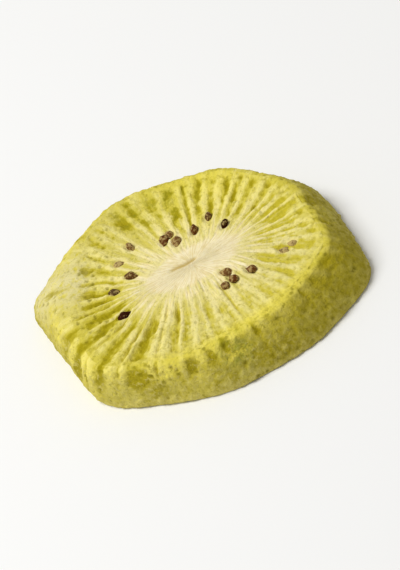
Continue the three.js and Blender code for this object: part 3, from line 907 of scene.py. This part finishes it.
def seed_paint(colours):
    """Seed coats from near black to brown, satin, with a thin dusty film in places."""
    paint = Paint("kiwi_seed")
    place = millimetres(paint)
    tint, cover = paint.traits("tint cover")
    cloud = paint.speckle(place, 1.9, 3.0, 0.65)
    dust = paint.speckle(place, 4.0, 4.0, 0.65)
    brown = paint.between(0.3, 1.0, tint * 0.7 + cloud * 0.6)
    tone = paint.mixed(brown, colours.seed, colours.seed_brown)
    dusty = cloud + (tint - 0.5) * 0.12 + cover * 0.12 + (dust - 0.5) * 0.4
    film = paint.between(0.53, 0.63, dusty) * 0.55 + cover * 0.25
    tone = paint.mixed(film, tone, colours.seed_film)
    bump = paint.node("ShaderNodeBump", None, {"Height": dust, "Strength": 0.5, "Distance": 0.08 * MM})
    return paint.finish({
        "Base Color": tone,
        "Roughness": film * 0.4 + 0.6,
        "Specular IOR Level": 0.05,
        "Normal": bump,
    })


def plain_paint(name, colour, roughness):
    """One matt colour with a hardly visible mottle of grey, for the floor."""
    paint = Paint(name)
    place = paint.node("ShaderNodeTexCoord", output="Object")
    mottle = paint.speckle(place, 6.0, 2.0) * 0.04
    tone = paint.mixed(mottle, colour, (0.8, 0.8, 0.8, 1))
    return paint.finish({"Base Color": tone, "Roughness": roughness, "Specular IOR Level": 0.1})


def srgb(red, green, blue):
    """A colour given as a picture has it, 0 to 255, in the linear numbers of a shader."""
    linear = []
    for value in (red, green, blue):
        value = value / 255
        linear.append(value / 12.92 if value < 0.04045 else ((value + 0.055) / 1.055) ** 2.4)
    return (*linear, 1.0)


def colour_property(name, description, value):
    """A colour that a user can change."""
    return bpy.props.FloatVectorProperty(
        name=name, description=description, subtype="COLOR", size=4, min=0, max=1, default=value)


class KiwiColours(bpy.types.PropertyGroup):
    """The colours of the flesh and the seeds."""

    core: colour_property("Core", "Cream of the core", srgb(255, 242, 200))
    core_shade: colour_property("Core shade", "Fibres in the core", srgb(234, 214, 152))
    slit: colour_property("Slit", "Tan of the slit in the core", srgb(212, 187, 114))
    ray: colour_property("Rays", "Pale raised rays near the core", srgb(247, 233, 156))
    ray_outer: colour_property("Outer rays", "Raised rays near the rim", srgb(245, 232, 136))
    pale: colour_property("Pale flesh", "Dry, paler areas of the flesh", srgb(229, 218, 158))
    flesh: colour_property("Flesh", "Flesh between the rays and the pockets", srgb(215, 201, 74))
    flesh_green: colour_property("Green flesh", "Greener patches of the flesh", srgb(184, 169, 26))
    pocket: colour_property("Pockets", "Deep pockets", srgb(170, 155, 4))
    pocket_pale: colour_property("Pale pockets", "Shallow pockets", srgb(206, 191, 50))
    # The edge colour is the gold yellow of the wall's top band and of the gold zones, and also serves
    # as the painted highlight on the front rim and the front wall
    edge: colour_property("Edge", "Wall just under the upper edge", srgb(245, 229, 92))
    wall: colour_property("Wall", "Peeled wall", srgb(197, 184, 77))
    wall_green: colour_property("Green wall", "Greener patches of the wall", srgb(166, 151, 14))
    wall_pale: colour_property("Pale wall", "Paler clouds of the wall", srgb(213, 200, 112))
    # The dimple colour is also the painted shade on the top strip of the right wall
    dimple: colour_property("Dimples", "Furrows and dimples in the wall", srgb(172, 156, 0))
    pit: colour_property("Pits", "Small pits", srgb(141, 129, 0))
    moss: colour_property("Moss", "Greener patches", srgb(140, 143, 26))
    seed: colour_property("Seed", "Dark seed coats", srgb(52, 18, 2))
    seed_brown: colour_property("Brown seed", "Lighter seed coats", srgb(104, 60, 22))
    seed_film: colour_property("Seed film", "Dry film on the seeds", srgb(204, 180, 116))


class KiwiStage(bpy.types.PropertyGroup):
    """The camera, the light and the floor."""

    elevation: bpy.props.FloatProperty(
        name="Elevation", description="Camera's height above the cut face", subtype="ANGLE",
        default=40.2 * DEGREES)
    roll: bpy.props.FloatProperty(
        name="Roll", description="How far the slice's long way rises to the right", subtype="ANGLE",
        default=28.2 * DEGREES)
    lens: bpy.props.FloatProperty(
        name="Lens", description="Focal length in millimetres", default=400.0)
    view_height: bpy.props.FloatProperty(
        name="View height", description="Height of the picture at the slice", unit="LENGTH",
        default=85.7 * MM)
    key_power: bpy.props.FloatProperty(
        name="Key light", description="Power of the large soft light", unit="POWER", default=3.6)
    sky: bpy.props.FloatProperty(
        name="Sky", description="Strength of the even light from all round", default=0.4)
    floor: colour_property("Floor", "Colour of the floor", (0.93, 0.93, 0.92, 1))


def show(piece, material, body, node):
    """Gives a piece its material and its place in the frame."""
    piece.data.materials.append(material)
    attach(piece, body)
    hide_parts(node)


class KIWI_OT_flesh(bpy.types.Operator):
    """Adds the flesh: core, rays, pockets and peeled wall, as one closed surface"""

    bl_idname = "kiwi.flesh"
    bl_label = "Add flesh"

    def execute(self, context):
        piece = make_mesh("kiwi_flesh_and_core", *Flesh().build())
        show(piece, flesh_paint(context.scene.kiwi_colours), "root", "kiwi_slice")
        return {"FINISHED"}


class KIWI_OT_seeds(bpy.types.Operator):
    """Adds the seeds of both cut faces, one piece to a face"""

    bl_idname = "kiwi.seeds"
    bl_label = "Add seeds"

    def execute(self, context):
        material = seed_paint(context.scene.kiwi_colours)
        base_tints = scatter(np.arange(len(BASE_SEEDS)), TINT_TRAIT)
        for name, seeds, level, tints in (("seeds_upper", TOP_SEEDS, EDGE, TOP_SEED_TINTS),
                                          ("seeds_under", BASE_SEEDS, FOOT, base_tints)):
            piece = make_mesh(name, *seed_mesh(seed_places(seeds, level), tints))
            show(piece, material, "root", "kiwi_slice")
        return {"FINISHED"}


class KIWI_OT_stage(bpy.types.Operator):
    """Adds the floor, the light and the camera"""

    bl_idname = "kiwi.stage"
    bl_label = "Add stage"

    # What the camera looks at, so that the slice stands in the middle of the picture
    LOOK_AT = Vector((-0.5, -0.1, 3.0)) * MM
    # The sensor's width is in millimetres, the lengths below it are in metres
    SENSOR = 36.0
    FLOOR_HALF = 2.0
    FLOOR_DROP = 0.05 * MM
    KEY_BEARING = 172 * DEGREES
    KEY_ELEVATION = 62 * DEGREES
    KEY_DISTANCE = 0.7
    KEY_SIZE = 0.4
    SKY_COLOUR = (1.0, 0.99, 0.97, 1)
    NEAREST_SEEN = 0.01

    def execute(self, context):
        stage = context.scene.kiwi_stage
        self.add_floor(stage)
        self.add_light(stage)
        self.add_camera(context, stage)
        return {"FINISHED"}

    def add_floor(self, stage):
        """A large level square just under the slice."""
        half = self.FLOOR_HALF / MM
        z = -self.FLOOR_DROP / MM
        points = [(-half, -half, z), (half, -half, z), (half, half, z), (-half, half, z)]
        floor = make_mesh("studio_floor", points, [(0, 1, 2, 3)], np.zeros((0, 3)), {})
        floor.data.materials.append(plain_paint("studio_floor", stage.floor, 0.9))

    def add_light(self, stage):
        """One large soft light from the upper left, and an even sky."""
        away = Vector((
            math.cos(self.KEY_BEARING) * math.cos(self.KEY_ELEVATION),
            math.sin(self.KEY_BEARING) * math.cos(self.KEY_ELEVATION),
            math.sin(self.KEY_ELEVATION),
        ))
        data = bpy.data.lights.new("key_light", "AREA")
        data.shape = "DISK"
        data.size = self.KEY_SIZE
        data.energy = stage.key_power
        light = bpy.data.objects.new("key_light", data)
        light.location = away * self.KEY_DISTANCE
        light.rotation_mode = "QUATERNION"
        light.rotation_quaternion = away.to_track_quat("Z", "Y")
        bpy.context.scene.collection.objects.link(light)
        world = bpy.data.worlds.new("studio_sky")
        world.use_nodes = True
        sky = world.node_tree.nodes["Background"]
        sky.inputs["Color"].default_value = self.SKY_COLOUR
        sky.inputs["Strength"].default_value = stage.sky
        bpy.context.scene.world = world

    def add_camera(self, context, stage):
        """A long lens at the photograph's angle to the cut face, turned about its own axis."""
        level_up = Vector((0, math.sin(stage.elevation), math.cos(stage.elevation)))
        along = Vector((1, 0, 0))
        right = along * math.cos(stage.roll) - level_up * math.sin(stage.roll)
        up = along * math.sin(stage.roll) + level_up * math.cos(stage.roll)
        back = right.cross(up)
        data = bpy.data.cameras.new("studio_camera")
        data.lens = stage.lens
        data.sensor_width = self.SENSOR
        data.clip_start = self.NEAREST_SEEN
        distance = stage.view_height * stage.lens / self.SENSOR
        camera = bpy.data.objects.new("studio_camera", data)
        turned = Matrix((right, up, back)).transposed().to_4x4()
        camera.matrix_world = Matrix.Translation(self.LOOK_AT + back * distance) @ turned
        context.scene.collection.objects.link(camera)
        context.scene.camera = camera
        context.scene.view_settings.view_transform = "Standard"


class KIWI_PT_panel(bpy.types.Panel):
    """Lists the kiwi slice's pieces"""

    bl_idname = "KIWI_PT_panel"
    bl_label = "Kiwi slice"
    bl_space_type = "VIEW_3D"
    bl_region_type = "UI"
    bl_category = "Kiwi"

    def draw(self, context):
        for operator in ("kiwi.flesh", "kiwi.seeds", "kiwi.stage"):
            self.layout.operator(operator)


CLASSES = (KiwiColours, KiwiStage, KIWI_OT_flesh, KIWI_OT_seeds, KIWI_OT_stage, KIWI_PT_panel)


def register():
    """Registers the classes and hangs the settings on the scene."""
    for each in CLASSES:
        bpy.utils.register_class(each)
    bpy.types.Scene.kiwi_colours = bpy.props.PointerProperty(type=KiwiColours)
    bpy.types.Scene.kiwi_stage = bpy.props.PointerProperty(type=KiwiStage)


def unregister():
    """Takes the settings and the classes away."""
    del bpy.types.Scene.kiwi_stage
    del bpy.types.Scene.kiwi_colours
    for each in reversed(CLASSES):
        bpy.utils.unregister_class(each)


def main():
    """Builds every piece in order."""
    register()
    bpy.ops.kiwi.flesh()
    bpy.ops.kiwi.seeds()
    bpy.ops.kiwi.stage()


if __name__ == "__main__":
    main()
